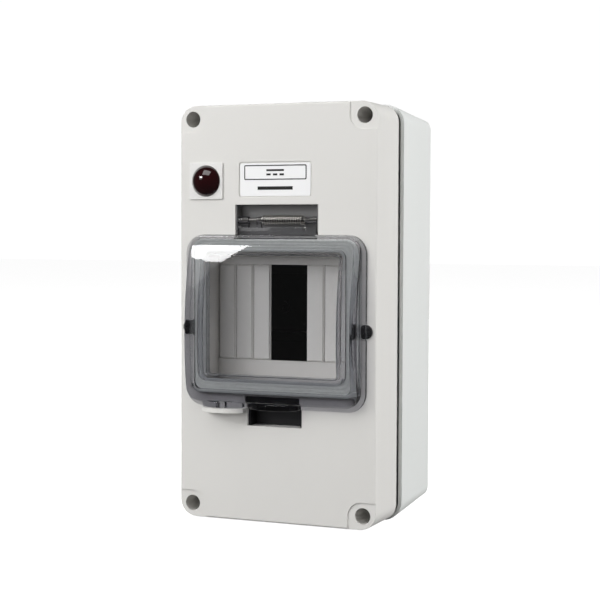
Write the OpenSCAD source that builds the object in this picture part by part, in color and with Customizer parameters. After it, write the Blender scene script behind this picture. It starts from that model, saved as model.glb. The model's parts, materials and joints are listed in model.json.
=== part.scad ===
// Surface-mounted combiner box with a hinged clear lid over a row of blanked breaker ways.
// The origin is the centre of the back face. X is to the right, Y runs back into the wall
// and Z is up, so the front faces -Y. A "depth" is the distance behind the cover's front face.

/* [Box] */
// Width of the front cover
cover_width = 101; // [90:0.5:120]
// Height of the front cover
cover_height = 198; // [180:0.5:220]
// Depth from the cover's front face to the wall
total_depth = 84; // [70:0.5:100]
// Depth of the cover's straight sides
cover_depth = 28.6; // [25:0.1:40]
// Corner radius of the cover seen from the front
corner_radius = 8; // [4:0.5:12]
// Radius along the cover's front edge
front_edge_radius = 1; // [0.4:0.1:2]
// Wall thickness of both mouldings
wall = 3; // [2:0.1:4]
// How far the base's rim stands outside the cover at the sides
rim_proud = 1.5; // [0.2:0.1:2]
// How far it stands outside the cover at the top and bottom
rim_proud_ends = 0.7; // [0.2:0.1:2]
// Depth of the rim's front edge
rim_depth = 32.2; // [26:0.1:40]
// How much each side of the base draws in at the back
back_taper = 3.8; // [0:0.1:8]
// Corner radius of the base at the back
back_radius = 5; // [3:0.5:12]
// Inset of the cover's rear lip, which enters the rim
lip_inset = 1.6; // [0.5:0.1:2]
// Depth of the end of the rear lip
lip_depth = 34.4; // [30:0.1:42]
// Width of the groove between the lip and the rim
lip_gap = 1.4; // [0.2:0.1:2]
// Width of the same groove at the top and bottom
lip_gap_ends = 1; // [0.2:0.1:2]
// Thickness of the squeezed seal between cover and base
seal_thick = 1.2; // [0.8:0.1:2]

/* [Corner screws] */
// Distance of each screw from the middle of the width
screw_x = 44; // [38:0.5:46]
// Distance of each screw from the middle of the height
screw_z = 92.5; // [86:0.5:94]
// Radius of the well around each screw
well_radius = 3.8; // [3:0.1:5]
// Depth of the well
well_depth = 22; // [10:0.5:26]
// Radius of the column around each well
column_radius = 5.6; // [5:0.1:7]
// Radius of the screw's shank
screw_radius = 2; // [1.5:0.1:3]

/* [Breaker window] */
// Pitch of one half-module way
way_pitch = 9.3; // [8.5:0.05:10]
// Number of ways left open between the left and right strips
open_ways = 2; // [0:2:4]
// Height of the breaker cut-out
aperture_height = 46; // [44:0.5:48]
// Height of the recess above and below the middle
recess_top = 29; // [26:0.5:34]
recess_bottom = 32; // [26:0.5:36]
// Depth of the recess
recess_depth = 15; // [8:0.5:20]
// Thickness of the panel at the bottom of the recess
panel_thick = 2; // [1.5:0.1:3]

/* [Lid] */
// Width of the lid's brim
lid_width = 92.2; // [86:0.1:96]
// Top of the brim above the middle
lid_top = 37.5; // [34:0.1:42]
// Bottom of the brim below the middle
lid_bottom = 44.4; // [40:0.1:50]
// Thickness of the brim
brim_thick = 2.4; // [1.5:0.1:4]
// Width of the brim outside the dome
brim_width = 2.2; // [1:0.1:4]
// Height of the dome's highest point above the cover
dome_height = 10.5; // [6:0.1:14]
// Radius of the dome's barrel-shaped front
dome_radius = 171.5; // [120:0.5:300]
// Thickness of the dome
dome_wall = 1.8; // [1.2:0.1:3]
// Gap between the closed lid and the cover
lid_gap = 0.3; // [0.2:0.1:1]

/* [Hinge] */
// Height of the pin above the middle
pin_z = 44.4; // [40:0.1:48]
// Depth of the pin
pin_depth = 2.2; // [1.8:0.1:4]
// Radius of the pin
pin_radius = 0.9; // [0.7:0.05:1.5]
// Radial clearance of the knuckles on the pin
knuckle_play = 0.05; // [0.02:0.01:0.1]
// Half the width of the hinge pocket
pocket_half_width = 21.3; // [16:0.5:26]
// Number of turns of the spring
spring_turns = 17; // [10:1:24]

/* [Lamp and label] */
// Position of the lamp
lamp_x = -36.5; // [-40:0.5:40]
lamp_z = 63; // [50:0.5:80]
// Side of the square bezel
bezel_side = 17.5; // [14:0.1:20]
// Radius of the lens
lens_radius = 7.5; // [5:0.1:8]
// Width of the label's frame
label_width = 37.4; // [30:0.1:50]
// Height of the label's frame
label_height = 16.7; // [12:0.1:24]
// Middle of the label above the middle of the box
label_z = 63.4; // [55:0.1:75]

/* [Inside] */
// Width of the mounting rail
rail_width = 35; // [30:0.5:40]
// Depth of the rail's front face
rail_depth = 62; // [55:0.5:70]
// Length of the rail
rail_length = 76; // [60:1:80]
// Radius of the conduit entries
entry_radius = 12.5; // [8:0.5:16]
// Depth of the conduit entries' axis
entry_depth = 60; // [50:0.5:66]
// Horizontal and vertical spacing of the wall holes
wall_hole_x = 72; // [60:1:80]
wall_hole_z = 150; // [120:1:160]
// Radius of the wall holes
wall_hole_radius = 2.5; // [2:0.1:3.5]

/* [Hidden] */
$fn = 96;
hull_fn = 32;
skin = 0.01;
cover_radius_in = corner_radius - wall;
lip_width = cover_width - 2 * lip_inset;
lip_height = cover_height - 2 * lip_inset;
lip_radius = corner_radius - lip_inset;
rim_width = cover_width + 2 * rim_proud;
rim_height = cover_height + 2 * rim_proud_ends;
rim_radius = corner_radius + rim_proud;
ledge_depth = lip_depth + seal_thick;
cavity_inset = 5;
cavity_draft = 2.6;
floor_depth = total_depth - wall;
strip_count = 6;
way_count = strip_count + open_ways;
aperture_width = way_pitch * way_count;
recess_height = recess_top + recess_bottom;
recess_mid = (recess_top - recess_bottom) / 2;
recess_radius = 3;
recess_wall = 2;
panel_back = recess_depth + panel_thick;
patch_width = 13.8;
patch_height = 12.8;
patch_step = 0.6;
lid_height = lid_top + lid_bottom;
lid_mid = (lid_top - lid_bottom) / 2;
lid_radius = 9;
dome_width = lid_width - 2 * brim_width;
dome_top = lid_top - 0.6;
dome_bottom = lid_bottom - brim_width;
dome_mid = (dome_top - dome_bottom) / 2;
dome_corner = 7;
barrel_z = -10.6;
gasket_thick = 2.6;
gasket_inner_width = 71;
gasket_inner_top = 29.3;
gasket_inner_bottom = 30.5;
gasket_radius = 3;
gasket_outer_bottom = 37.4;
rib_thick = 1.2;
ledge_width = 1.4;
pocket_top = 51.7;
pocket_bottom = 35.4;
pocket_depth = 7.6;
pocket_wall = 1.8;
knuckle_radius = 1.7;
block_floor = 1.5;
cheek_thick = 0.6;
tongue_top = 41;
tongue_back = 0.7;
ear_inner_left = -8.2;
ear_inner_right = 14.4;
ear_thick = 2.3;
knuckle_left = -14.8;
knuckle_end = 20.3;
wire_radius = 0.55;
coil_radius = 1.8;
spring_start = -7.6;
spring_pitch = 1.22;
latch_left = -14.6;
latch_right = 13.4;
latch_bottom = -53.3;
latch_top = -38.2;
latch_depth = 9;
lip_left = -12.6;
lip_right = 13.4;
lug_left = -36.5;
lug_right = -15;
lug_reach = 9;
lug_bow = 15;
lock_hole_x = -25.5;
lock_hole_reach = 4.8;
lock_hole_radius = 2.6;
lip_reach = 9.5;
lip_bow = 19;
lip_bottom = -44.9;
lip_thick = 3.2;
hook_half_width = 7;
hook_thick = 1.6;
hook_depth = 4;
barb_thick = 1.4;
barb_top = -42.9;
tongue_bottom = 36.2;
slot_height = 1.4;
strip_set_back = 0.2;
strip_step = 1;
strip_inset = 0.6;
strip_rib = 1.5;
strip_hook = 1.2;
strip_relief = 0.6;
strip_end = 6;
plug_ball = 6;
plug_stem_length = 4.5;
plug_clear = 0.4;
part_gap = 0.1;
keeper_wall = 1.2;
keeper_lip = -42.6;
cheek_front = 0.5;
cheek_bottom = 39;
leg_drop = 3.2;
washer_thick = 1;
head_radius = 3.5;
head_height = 2.6;
insert_radius = 2.9;
insert_length = 7.8;
insert_pocket = 8;
screw_bore = 2.2;
screw_bore_length = 14;
screw_past_lip = 8;
seal_width = 2;
lip_root = 4;
lip_thick_rear = 2.5;
patch_radius = 6.5;
plug_boss_length = 6;
plug_boss_wall = 1.5;
post_radius = 4;
floor_boss = 4;
collar_wall = 3.5;
collar_length = 8;
shelf_top = -44.9;
shelf_thick = 2.1;
lug_thick = 3.2;
plug_x = 45.2;
plug_z = -7;
plug_radius = 3.4;
plug_height = 1.3;
plug_stem = 2;
chassis_depth = 69.5;
chassis_thick = 2;
chassis_post_x = 34;
chassis_post_z = 56;
bar_z = 52;
bar_left = -4;
bar_right = 30;
bar_front = 56;
bar_thick = 7;
bar_ways = 5;
bar_way_pitch = 6.5;
bar_wire_radius = 2;
bar_head_radius = 2.4;
foot_width = 6;
foot_x = [-3, 23];
fixing_radius = 1.5;
fixing_head = 3;
fixing_head_height = 2;
rail_thick = 1;
rail_crown = 27;
rail_screw_x = 25;
boss_radius = 3.2;
boss_length = 8;
chassis_width = 80;
chassis_height = 124;
wing_front = 40;
wing_half_height = 40;
block_left = -30;
block_right = -16;
block_front = 58;
block_half_height = 6;
terminal_x = [-26.5, -19.5];
terminal_depth = 65.5;
terminal_radius = 1.7;
wire_entry_radius = 1.3;
slot_depth = 0.8;
lens_dome = 4.4;
lens_shell = 1.2;
lens_stem_radius = 4.6;
lens_stem_bore = 3.6;
lens_stem_length = 4;
bezel_thick = 0.8;
lamp_body_radius = 5.8;
lamp_body_back = 21.4;
lamp_hole_radius = 6;
lamp_seal_radius = 8;
lamp_seal_thick = 1.2;
nut_radius = 9;
nut_thick = 3.5;
lamp_socket_radius = 4.7;
lamp_socket_depth = 9;
bulb_radius = 2.5;
lug_pitch_half = 2.6;
lead_radius = 0.9;
label_x = -0.7;
label_depth = 0.5;
plate_depth = 0.2;
plate_margin = 0.6;
print_thick = 0.05;
line_width = 0.5;
panel_z = 3.4;
panel_width = 32;
panel_height = 7;
sign_width = 9;
stroke = 0.9;
dash_pitch = 3.4;
dash_width = 2.2;
plug_head = 2.5;
plug_depth = 9;
plug_seal_thick = 1.2;
coin_slot_depth = 1.2;

// ---------- helpers ----------

function y_at(depth) = depth - total_depth;

// 2D rectangle with round corners, centred, x across and y up
module rounded_rect(width, height, radius) {
    square([width - 2 * radius, height], center = true);
    square([width, height - 2 * radius], center = true);
    for (side = [-1, 1], end = [-1, 1])
        translate([side * (width / 2 - radius), end * (height / 2 - radius)])
            circle(r = radius);
}

// An upright 2D outline made into a slab that starts at a depth and runs back
module slab(depth, thick) {
    translate([0, y_at(depth) + thick, 0])
        rotate([90, 0, 0])
            linear_extrude(height = thick) children();
}

// A round bar that starts at a depth and runs back
module peg(x, z, depth, length, radius) {
    translate([x, y_at(depth), z])
        rotate([-90, 0, 0])
            cylinder(r = radius, h = length);
}

// A tapering peg, such as the end of a screw
module cone_peg(x, z, depth, length, front_radius, back_radius) {
    translate([x, y_at(depth), z])
        rotate([-90, 0, 0])
            cylinder(r1 = front_radius, r2 = back_radius, h = length);
}

// A round bar along X
module bar_x(x_from, x_to, depth, z, radius) {
    translate([x_from, y_at(depth), z])
        rotate([0, 90, 0])
            cylinder(r = radius, h = x_to - x_from);
}

// A box from its two x, two depth and two z limits
module block(x_from, x_to, depth_from, depth_to, z_from, z_to) {
    translate([x_from, y_at(depth_from), z_from])
        cube([x_to - x_from, depth_to - depth_from, z_to - z_from]);
}

module at_corners(x, z) {
    for (side = [-1, 1], end = [-1, 1])
        translate([side * x, 0, end * z]) children();
}

// 2D section across a slab whose two front corners are round; y is the depth
module soft_section(span, thick, edge) {
    translate([-span / 2, edge]) square([span, thick - edge]);
    translate([edge - span / 2, 0]) square([span - 2 * edge, thick]);
    for (side = [-1, 1])
        translate([side * (span / 2 - edge), edge]) circle(r = edge);
}

// A slab with round corners and a round front edge
module soft_slab(width, height, radius, edge, depth, thick) {
    translate([0, y_at(depth), radius - height / 2])
        linear_extrude(height = height - 2 * radius) soft_section(width, thick, edge);
    translate([radius - width / 2, y_at(depth), 0])
        rotate([90, 0, 90])
            linear_extrude(height = width - 2 * radius)
                mirror([1, -1, 0]) soft_section(height, thick, edge);
    for (side = [-1, 1], end = [-1, 1])
        translate([side * (width / 2 - radius), y_at(depth), end * (height / 2 - radius)])
            rotate([-90, 0, 0])
                rotate_extrude() {
                    square([radius - edge, thick]);
                    translate([0, edge]) square([radius, thick - edge]);
                    translate([radius - edge, edge]) circle(r = edge);
                }
}

// Everything behind a barrel whose front stands at a height above the cover
module behind_barrel(height, radius) {
    translate([-cover_width / 2, y_at(-height) + radius, barrel_z])
        rotate([0, 90, 0])
            cylinder(r = radius, h = cover_width);
}

// A pan-headed screw whose head starts at a depth
module pan_screw(x, z, depth, head_radius, head_height, shank_radius, length) {
    difference() {
        union() {
            peg(x, z, depth, head_height, head_radius);
            peg(x, z, depth + head_height - skin, length - 1, shank_radius);
            cone_peg(x, z, depth + head_height + length - 1 - 2 * skin, 1,
                shank_radius, shank_radius / 2);
        }
        for (turn = [0, 90])
            translate([x, y_at(depth) - skin, z])
                rotate([0, turn, 0])
                    translate([-head_radius * 0.6, 0, -head_radius * 0.12])
                        cube([head_radius * 1.2, head_height * 0.55, head_radius * 0.24]);
    }
}

// ---------- base ----------

// A block that draws in as it runs back, with round corners, between two depths
module drafted(width, height, radius, draw_in, end_radius, depth_from, depth_to) {
    $fn = hull_fn;
    hull() {
        slab(depth_from, skin) rounded_rect(width, height, radius);
        slab(depth_to - skin, skin)
            rounded_rect(width - 2 * draw_in, height - 2 * draw_in, end_radius);
    }
}

module base_columns() {
    at_corners(screw_x, screw_z) peg(0, 0, ledge_depth, floor_depth - ledge_depth, column_radius);
    at_corners(wall_hole_x / 2, wall_hole_z / 2)
        peg(0, 0, floor_depth - floor_boss, floor_boss + skin, 2 * wall_hole_radius);
    at_corners(chassis_post_x, chassis_post_z)
        peg(0, 0, chassis_depth + chassis_thick, floor_depth - chassis_depth, post_radius);
}

// The thick collar around a conduit entry at one end of the box
module entry_collar(end) {
    translate([0, y_at(entry_depth), end * (rim_height - collar_length) / 2])
        cylinder(r = entry_radius + collar_wall, h = collar_length, center = true);
}

module base_box() {
    color([0.89, 0.89, 0.87])
    difference() {
        union() {
            difference() {
                drafted(rim_width, rim_height, rim_radius, back_taper, back_radius,
                    rim_depth, total_depth);
                difference() {
                    drafted(rim_width - 2 * cavity_inset, rim_height - 2 * cavity_inset,
                        rim_radius - cavity_inset, cavity_draft, rim_radius - cavity_inset,
                        ledge_depth, floor_depth);
                    base_columns();
                }
            }
            for (end = [-1, 1]) entry_collar(end);
        }
        slab(rim_depth - 1, ledge_depth - rim_depth + 1)
            rounded_rect(lip_width + 2 * lip_gap, lip_height + 2 * lip_gap_ends,
                lip_radius + lip_gap);
        translate([0, y_at(entry_depth), -rim_height]) cylinder(r = entry_radius, h = 2 * rim_height);
        at_corners(screw_x, screw_z) {
            peg(0, 0, ledge_depth - skin, insert_pocket, insert_radius);
            peg(0, 0, ledge_depth, screw_bore_length, screw_bore);
        }
        at_corners(wall_hole_x / 2, wall_hole_z / 2)
            peg(0, 0, floor_depth - floor_boss - 1, floor_boss + 2 * wall, wall_hole_radius);
        at_corners(chassis_post_x, chassis_post_z)
            peg(0, 0, chassis_depth, boss_length + chassis_thick, fixing_radius - 0.1);
    }
}

module base_seal() {
    color([0.1, 0.1, 0.1])
    difference() {
        slab(lip_depth, seal_thick) rounded_rect(lip_width, lip_height, lip_radius);
        slab(lip_depth - 1, seal_thick + 2)
            rounded_rect(lip_width - 2 * seal_width, lip_height - 2 * seal_width,
                lip_radius - seal_width);
    }
}

module screw_inserts() {
    color([0.78, 0.62, 0.3])
    at_corners(screw_x, screw_z)
        difference() {
            peg(0, 0, ledge_depth, insert_length, insert_radius);
            peg(0, 0, ledge_depth - 1, insert_length + 2, screw_radius - 0.1);
        }
}

// ---------- cover ----------

module cover_shell() {
    difference() {
        soft_slab(cover_width, cover_height, corner_radius, front_edge_radius, 0, cover_depth);
        slab(wall, cover_depth)
            rounded_rect(cover_width - 2 * wall, cover_height - 2 * wall, cover_radius_in);
    }
    difference() {
        slab(cover_depth - lip_root, lip_depth - cover_depth + lip_root)
            rounded_rect(lip_width, lip_height, lip_radius);
        slab(cover_depth - lip_root - 1, lip_depth)
            rounded_rect(lip_width - 2 * lip_thick_rear, lip_height - 2 * lip_thick_rear,
                lip_radius - lip_thick_rear);
    }
}

module cover_columns() {
    intersection() {
        at_corners(screw_x, screw_z) peg(0, 0, wall / 2, lip_depth - wall / 2, column_radius);
        slab(0, lip_depth) rounded_rect(lip_width, lip_height, lip_radius);
    }
}

module recess_tub() {
    translate([0, 0, recess_mid])
        slab(wall / 2, panel_back - wall / 2)
            rounded_rect(aperture_width + 2 * recess_wall, recess_height + 2 * recess_wall,
                recess_radius + recess_wall);
}

module pocket_tubs() {
    block(-pocket_half_width - pocket_wall, pocket_half_width + pocket_wall,
        wall / 2, pocket_depth + pocket_wall, pocket_bottom - pocket_wall, pocket_top + pocket_wall);
    block(latch_left - pocket_wall, latch_right + pocket_wall,
        wall / 2, latch_depth + pocket_wall, latch_bottom - pocket_wall, latch_top + pocket_wall);
    for (side = [-1, 1])
        peg(side * plug_x, plug_z, wall / 2, plug_boss_length, plug_stem + plug_boss_wall);
}

// 2D outline of the lock lug seen from above, with a bowed front edge; y is the depth
module lug_outline(reach) {
    span = lug_right - lug_left;
    intersection() {
        translate([lug_left, -reach]) square([span, reach + wall / 2]);
        translate([(lug_left + lug_right) / 2, lug_bow - reach]) circle(r = lug_bow);
    }
}

module lug_plate(reach, z_from, thick) {
    translate([0, y_at(0), z_from]) linear_extrude(height = thick) lug_outline(reach);
}

// The hole for a locking pin: up through the cover's shelf and the lid's lug
module lock_hole() {
    translate([lock_hole_x, y_at(-lock_hole_reach), shelf_top - 2 * shelf_thick])
        cylinder(r = lock_hole_radius, h = 2 * shelf_thick + lid_gap + lug_thick);
}

module corner_patches() {
    at_corners(cover_width / 2, cover_height / 2)
        translate([0, y_at(0) - 1, 0])
            rotate([-90, 0, 0])
                linear_extrude(height = 1 + patch_step)
                    rounded_rect(2 * patch_width, 2 * patch_height, patch_radius);
}

module label_frame() {
    translate([label_x, 0, label_z])
        slab(-1, 1 + label_depth) rounded_rect(label_width, label_height, 1.5);
}

module front_cover() {
    color([0.85, 0.84, 0.82])
    difference() {
        union() {
            cover_shell();
            cover_columns();
            recess_tub();
            pocket_tubs();
            lug_plate(lug_reach, shelf_top - shelf_thick, shelf_thick);
        }
        translate([0, 0, recess_mid])
            slab(-1, recess_depth + 1)
                rounded_rect(aperture_width, recess_height, recess_radius);
        slab(recess_depth - 1, panel_thick + 2) square([aperture_width, aperture_height], center = true);
        block(-pocket_half_width, pocket_half_width, -1, pocket_depth, pocket_bottom, pocket_top);
        block(latch_left, latch_right, -1, latch_depth, latch_bottom, latch_top);
        corner_patches();
        at_corners(screw_x, screw_z) {
            peg(0, 0, -1, well_depth + 1, well_radius);
            peg(0, 0, 0, lip_depth + 1, screw_radius + 0.3);
        }
        label_frame();
        peg(lamp_x, lamp_z, -1, wall + 2, lamp_hole_radius);
        for (side = [-1, 1]) peg(side * plug_x, plug_z, -1, plug_boss_length, plug_stem);
        lock_hole();
    }
}

module cover_screws() {
    color([0.75, 0.75, 0.76])
    at_corners(screw_x, screw_z)
        pan_screw(0, 0, well_depth - washer_thick - head_height, head_radius, head_height,
            screw_radius, lip_depth + screw_past_lip - well_depth);
}

module screw_washers() {
    color([0.08, 0.08, 0.08])
    at_corners(screw_x, screw_z)
        difference() {
            peg(0, 0, well_depth - washer_thick, washer_thick, head_radius);
            peg(0, 0, well_depth - 2 * washer_thick, 3 * washer_thick, screw_radius);
        }
}

module side_plugs() {
    color([0.03, 0.03, 0.03])
    for (side = [-1, 1])
        translate([side * plug_x, y_at(0), plug_z])
            rotate([90, 0, 0]) {
                intersection() {
                    cylinder(r = plug_radius, h = plug_height);
                    translate([0, 0, plug_height - plug_ball]) sphere(r = plug_ball);
                }
                translate([0, 0, -plug_stem_length])
                    cylinder(r = plug_stem, h = plug_stem_length + skin);
            }
}

module latch_keeper() {
    left = latch_left + part_gap;
    right = latch_right - part_gap;
    top = latch_top - part_gap;
    bottom = latch_bottom + part_gap;
    color([0.05, 0.05, 0.05]) {
        block(left, right, latch_depth - keeper_wall, latch_depth, bottom, top);
        block(left, left + keeper_wall, keeper_wall, latch_depth, bottom, top);
        block(right - keeper_wall, right, keeper_wall, latch_depth, bottom, top);
        block(left, right, keeper_wall, latch_depth, keeper_lip, top);
    }
}

// ---------- lid ----------

module lid_outer() {
    translate([0, 0, lid_mid])
        slab(-lid_gap - brim_thick, brim_thick) rounded_rect(lid_width, lid_height, lid_radius);
    intersection() {
        translate([0, 0, dome_mid])
            slab(-dome_height - 1, dome_height + 1 - lid_gap)
                rounded_rect(dome_width, dome_top + dome_bottom, dome_corner);
        behind_barrel(dome_height, dome_radius);
    }
}

// 2D outline of the gasket's inner or outer edge, grown by an amount
module gasket_outline(grow) {
    translate([0, (gasket_inner_top - gasket_inner_bottom) / 2])
        rounded_rect(gasket_inner_width + 2 * grow,
            gasket_inner_top + gasket_inner_bottom + 2 * grow, gasket_radius + grow);
}

// 2D outline of the gasket's seat inside the dome's walls
module seat_outline(shrink) {
    top = dome_top - dome_wall;
    translate([0, (top - gasket_outer_bottom) / 2])
        rounded_rect(dome_width - 2 * dome_wall - 2 * shrink,
            top + gasket_outer_bottom - 2 * shrink, dome_corner - dome_wall);
}

module lid_hollows() {
    intersection() {
        slab(-dome_height - 1, dome_height + 2) {
            gasket_outline(-rib_thick);
            difference() {
                seat_outline(ledge_width);
                gasket_outline(ledge_width);
            }
            translate([0, -(dome_bottom + gasket_outer_bottom) / 2])
                square([dome_width - 2 * dome_corner, slot_height], center = true);
        }
        behind_barrel(dome_height - dome_wall, dome_radius - dome_wall);
    }
    slab(-lid_gap - gasket_thick, gasket_thick + 1)
        difference() {
            seat_outline(0);
            gasket_outline(0);
        }
}

// The plate, ears and knuckles that carry the lid on its pin
module lid_tongue() {
    front = pin_depth - knuckle_radius;
    back = pin_depth + tongue_back;
    block(-knuckle_end, knuckle_end, front, back, tongue_bottom, tongue_top);
    block(-knuckle_end, knuckle_end, -lid_gap - brim_thick, back, tongue_bottom, lid_top);
    for (span = [[-knuckle_end, knuckle_left], [ear_inner_left - ear_thick, ear_inner_left],
                 [ear_inner_right, knuckle_end]]) {
        block(span[0], span[1], front, back, tongue_top - 1, pin_z);
        bar_x(span[0], span[1], pin_depth, pin_z, knuckle_radius);
    }
}

// The bowed pull lip with its hook, at the middle of the lower edge
module lid_latch() {
    translate([0, y_at(0), lip_bottom])
        linear_extrude(height = lip_thick)
            intersection() {
                translate([lip_left, -lip_reach])
                    square([lip_right - lip_left, lip_reach - lid_gap]);
                translate([(lip_left + lip_right) / 2, lip_bow - lip_reach]) circle(r = lip_bow);
            }
    block(-hook_half_width, hook_half_width, -lid_gap - brim_thick, hook_depth,
        lip_bottom, lip_bottom + hook_thick);
    block(-hook_half_width, hook_half_width, hook_depth - barb_thick, hook_depth,
        lip_bottom, barb_top);
}

// The room in the lid and its gasket for the head of a side plug
module plug_relief(side) {
    height = plug_height + lid_gap;
    peg(side * plug_x, plug_z, -height, height, plug_radius + plug_clear);
}

module lid() {
    color([0.62, 0.64, 0.68, 0.4])
    difference() {
        union() {
            difference() {
                lid_outer();
                lid_hollows();
            }
            lid_tongue();
            lid_latch();
            difference() {
                lug_plate(lug_reach, shelf_top + lid_gap, lug_thick);
                block(-cover_width, cover_width, -lid_gap, wall, -cover_height, cover_height);
            }
        }
        bar_x(-knuckle_end - 1, knuckle_end + 1, pin_depth, pin_z, pin_radius + knuckle_play);
        lock_hole();
        for (side = [-1, 1])
            plug_relief(side);
    }
}

module lid_gasket() {
    color([0.48, 0.51, 0.5])
    difference() {
        slab(-lid_gap - gasket_thick, gasket_thick) seat_outline(0.05);
        slab(-dome_height, 2 * dome_height) gasket_outline(0.05);
        for (side = [-1, 1])
            plug_relief(side);
    }
}

// ---------- hinge ----------

module hinge_block() {
    half = pocket_half_width - part_gap;
    top = pocket_top - part_gap;
    color([0.26, 0.26, 0.26])
    difference() {
        union() {
            block(-half, half, pocket_depth - block_floor, pocket_depth,
                pocket_bottom + part_gap, top);
            block(-half, cheek_thick - half, cheek_front, pocket_depth, cheek_bottom, top);
            block(half - cheek_thick, half, cheek_front, pocket_depth, cheek_bottom, top);
        }
        bar_x(-pocket_half_width, pocket_half_width, pin_depth, pin_z, pin_radius);
    }
}

module hinge_pin() {
    color([0.8, 0.8, 0.8])
    bar_x(0.3 - pocket_half_width, pocket_half_width - 0.3, pin_depth, pin_z, pin_radius);
}

// Half a turn of wire; its ends lie on opposite sides of the pin, half a pitch apart
module half_turn(side) {
    tilt = asin(spring_pitch / 2 / (2 * coil_radius));
    translate([spring_pitch / 4, 0, 0])
        rotate([0, 90, 0])
            rotate([0, side * tilt, 0])
                rotate_extrude(angle = side * 180) translate([coil_radius, 0]) circle(r = wire_radius);
}

module hinge_spring() {
    end_x = spring_start + spring_turns * spring_pitch;
    leg_step = tongue_back + wire_radius + 0.05;
    color([0.72, 0.72, 0.74])
    translate([0, y_at(pin_depth), pin_z]) {
        for (turn = [0 : spring_turns - 1])
            translate([spring_start + turn * spring_pitch, 0, 0]) {
                half_turn(1);
                translate([spring_pitch / 2, 0, 0]) mirror([0, 0, 1]) half_turn(1);
            }
        translate([spring_start, 0, -coil_radius])
            rotate([-90, 0, 0])
                cylinder(r = wire_radius, h = pocket_depth - block_floor - pin_depth);
        translate([end_x, 0, -coil_radius]) {
            rotate([-90, 0, 0]) cylinder(r = wire_radius, h = leg_step);
            translate([0, leg_step, 0]) sphere(r = wire_radius + 0.05);
            translate([0, leg_step, -leg_drop]) cylinder(r = wire_radius, h = leg_drop);
        }
    }
}

// ---------- blanking strips ----------

// The ways are numbered from the left, and the open ones in the middle are skipped
module blanking_strip(way) {
    half = way_pitch / 2 - 0.15;
    end_z = aperture_height / 2;
    x = (way - (way_count - 1) / 2) * way_pitch;
    color([0.8, 0.79, 0.77])
    translate([x, 0, 0])
        difference() {
            union() {
                block(-half, half, recess_depth + strip_step, panel_back,
                    part_gap - end_z, end_z - part_gap);
                block(strip_inset - half, half - strip_inset, recess_depth + strip_set_back,
                    panel_back, strip_inset - end_z, end_z - strip_inset);
                for (end = [0, 1])
                    mirror([0, 0, end])
                        block(strip_rib - half, half - strip_rib, panel_back,
                            panel_back + strip_hook, end_z - 2.5, end_z + 1.5);
            }
            block(strip_rib - half, half - strip_rib, panel_back - strip_relief, panel_back + 1,
                strip_end - end_z, end_z - strip_end);
        }
}

module blanking_strip_1() { blanking_strip(0); }
module blanking_strip_2() { blanking_strip(1); }
module blanking_strip_3() { blanking_strip(2); }
module blanking_strip_4() { blanking_strip(way_count - 3); }
module blanking_strip_5() { blanking_strip(way_count - 2); }
module blanking_strip_6() { blanking_strip(way_count - 1); }

// ---------- inside ----------

module din_rail() {
    half = rail_length / 2;
    web = rail_crown / 2 - rail_thick;
    color([0.12, 0.12, 0.12])
    difference() {
        union() {
            block(-half, half, chassis_depth - rail_thick, chassis_depth,
                -rail_crown / 2, rail_crown / 2);
            for (end = [0, 1]) mirror([0, 0, end]) {
                block(-half, half, rail_depth, chassis_depth, web, rail_crown / 2);
                block(-half, half, rail_depth, rail_depth + rail_thick, web, rail_width / 2);
            }
        }
        for (side = [-1, 1])
            peg(side * rail_screw_x, 0, rail_depth, total_depth - rail_depth, fixing_radius + 0.2);
    }
}

module rail_screws() {
    color([0.2, 0.2, 0.2])
    for (side = [-1, 1])
        pan_screw(side * rail_screw_x, 0, chassis_depth - rail_thick - fixing_head_height,
            fixing_head, fixing_head_height, fixing_radius, 6);
}

module chassis() {
    color([0.06, 0.06, 0.06])
    difference() {
        union() {
            slab(chassis_depth, chassis_thick) rounded_rect(chassis_width, chassis_height, 3);
            for (side = [0, 1]) mirror([side, 0, 0]) {
                block(chassis_width / 2 - chassis_thick, chassis_width / 2, wing_front,
                    chassis_depth + skin, -wing_half_height, wing_half_height);
                peg(rail_screw_x, 0, chassis_depth, boss_length, boss_radius);
            }
        }
        for (side = [-1, 1])
            peg(side * rail_screw_x, 0, chassis_depth - 1, boss_length, fixing_radius - 0.1);
        at_corners(chassis_post_x, chassis_post_z)
            peg(0, 0, chassis_depth - 1, boss_length, fixing_radius + 0.2);
    }
}

module chassis_screws() {
    color([0.7, 0.7, 0.7])
    at_corners(chassis_post_x, chassis_post_z)
        pan_screw(0, 0, chassis_depth - fixing_head_height, fixing_head, fixing_head_height,
            fixing_radius, boss_length);
}

// A brass bar with a row of wire holes and a clamp screw over each
module terminal_bar(end) {
    half = bar_thick / 2;
    difference() {
        block(bar_left, bar_right, bar_front, bar_front + bar_thick,
            end * bar_z - half, end * bar_z + half);
        for (way = [0 : bar_ways - 1]) translate([way * bar_way_pitch, 0, end * bar_z]) {
            translate([0, y_at(bar_front + 4), 0])
                cylinder(r = bar_wire_radius, h = 2 * bar_thick, center = true);
            peg(0, 0, bar_front - 1, 5, fixing_radius);
        }
    }
}

module earth_bar() { color([0.78, 0.62, 0.3]) terminal_bar(-1); }
module neutral_bar() { color([0.78, 0.62, 0.3]) terminal_bar(1); }

module bar_feet() {
    color([0.1, 0.35, 0.2])
    for (end = [-1, 1], x = foot_x)
        block(x, x + foot_width, bar_front + bar_thick, chassis_depth,
            end * bar_z - bar_thick / 2, end * bar_z + bar_thick / 2);
}

module bar_screws() {
    color([0.72, 0.72, 0.72])
    for (end = [-1, 1], way = [0 : bar_ways - 1])
        translate([way * bar_way_pitch, 0, end * bar_z])
            difference() {
                union() {
                    peg(0, 0, bar_front - 2.6, 1.8, bar_head_radius);
                    peg(0, 0, bar_front - 1, 4, fixing_radius);
                }
                block(-3, 3, bar_front - 3, bar_front - 2, -0.3, 0.3);
            }
}

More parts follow.
